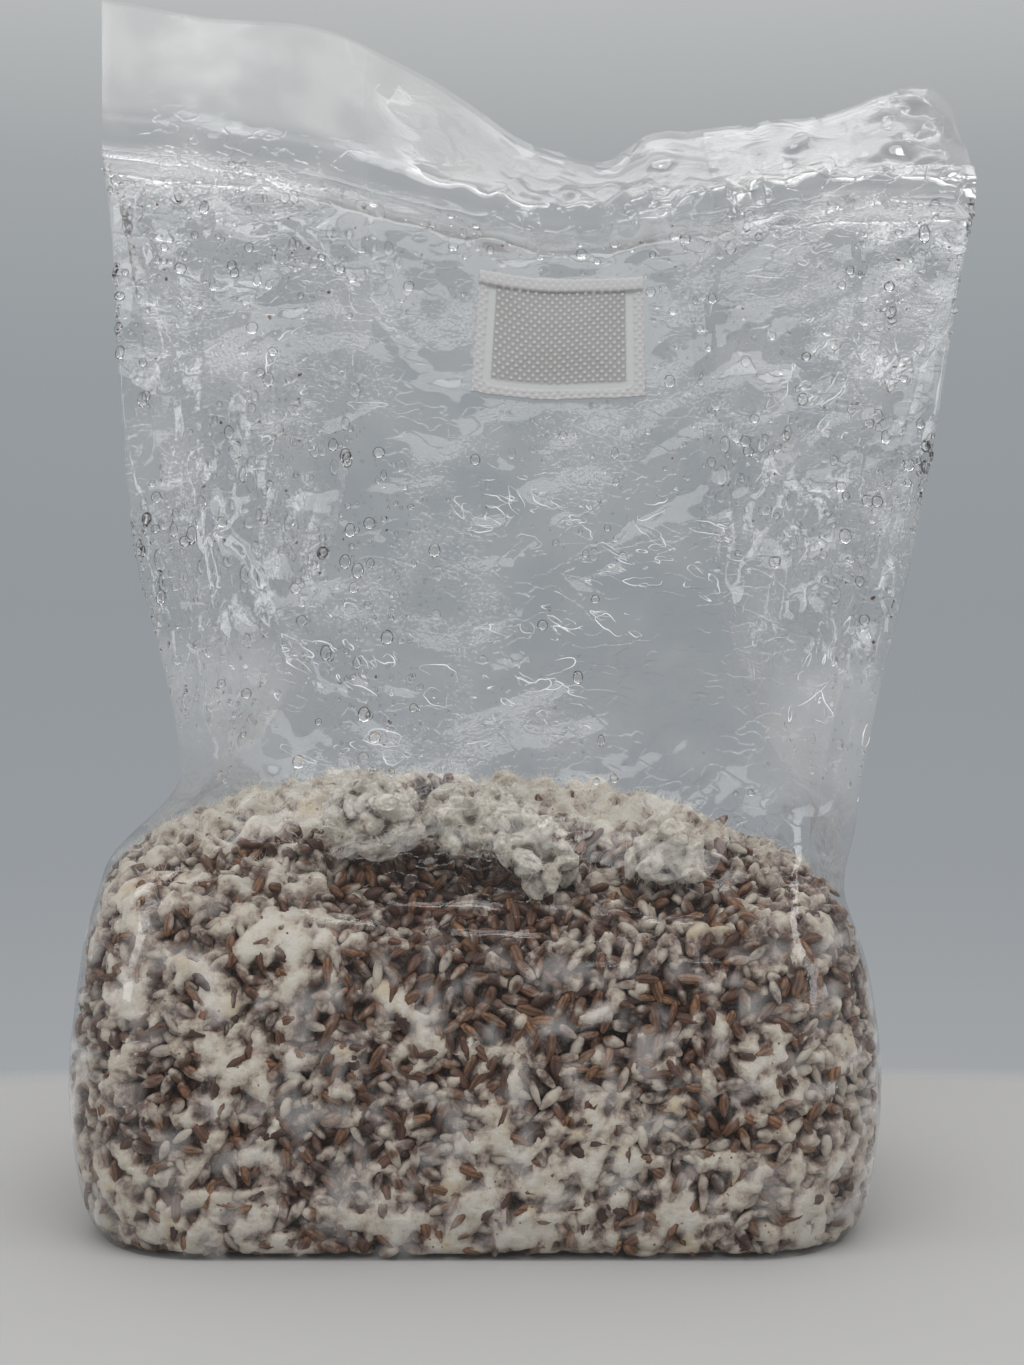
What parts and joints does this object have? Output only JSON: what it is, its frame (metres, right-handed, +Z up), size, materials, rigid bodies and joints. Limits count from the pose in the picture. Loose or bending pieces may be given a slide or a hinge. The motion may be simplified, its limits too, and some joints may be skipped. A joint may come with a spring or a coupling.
{
  "type": "grain spawn bag",
  "caption": "Clear gusseted film bag with a nonwoven filter patch, heat sealed over a domed block of rye grain grown through by white mycelium.",
  "frame": {"origin": "centre of the bag's box, on the surface that it stands on", "axes": "+Z up, +Y from the front panel with the filter patch towards the back panel, +X to the right seen from the front"},
  "size_m": [0.2092, 0.122, 0.284],
  "materials": {
    "film": "clear, wrinkled, beaded with condensation",
    "filter_cloth": "white nonwoven, point embossed",
    "grain": "brown rye kernels bound by cream-white mycelium",
    "mycelium": "matted, cream-white, fuzzy"
  },
  "bodies": {
    "root": {"bag_film": "film", "filter_patch": "filter_cloth", "grain_block": "grain", "clod_left": "mycelium", "clod_middle": "mycelium", "clod_right": "mycelium"}
  },
  "joints": []
}
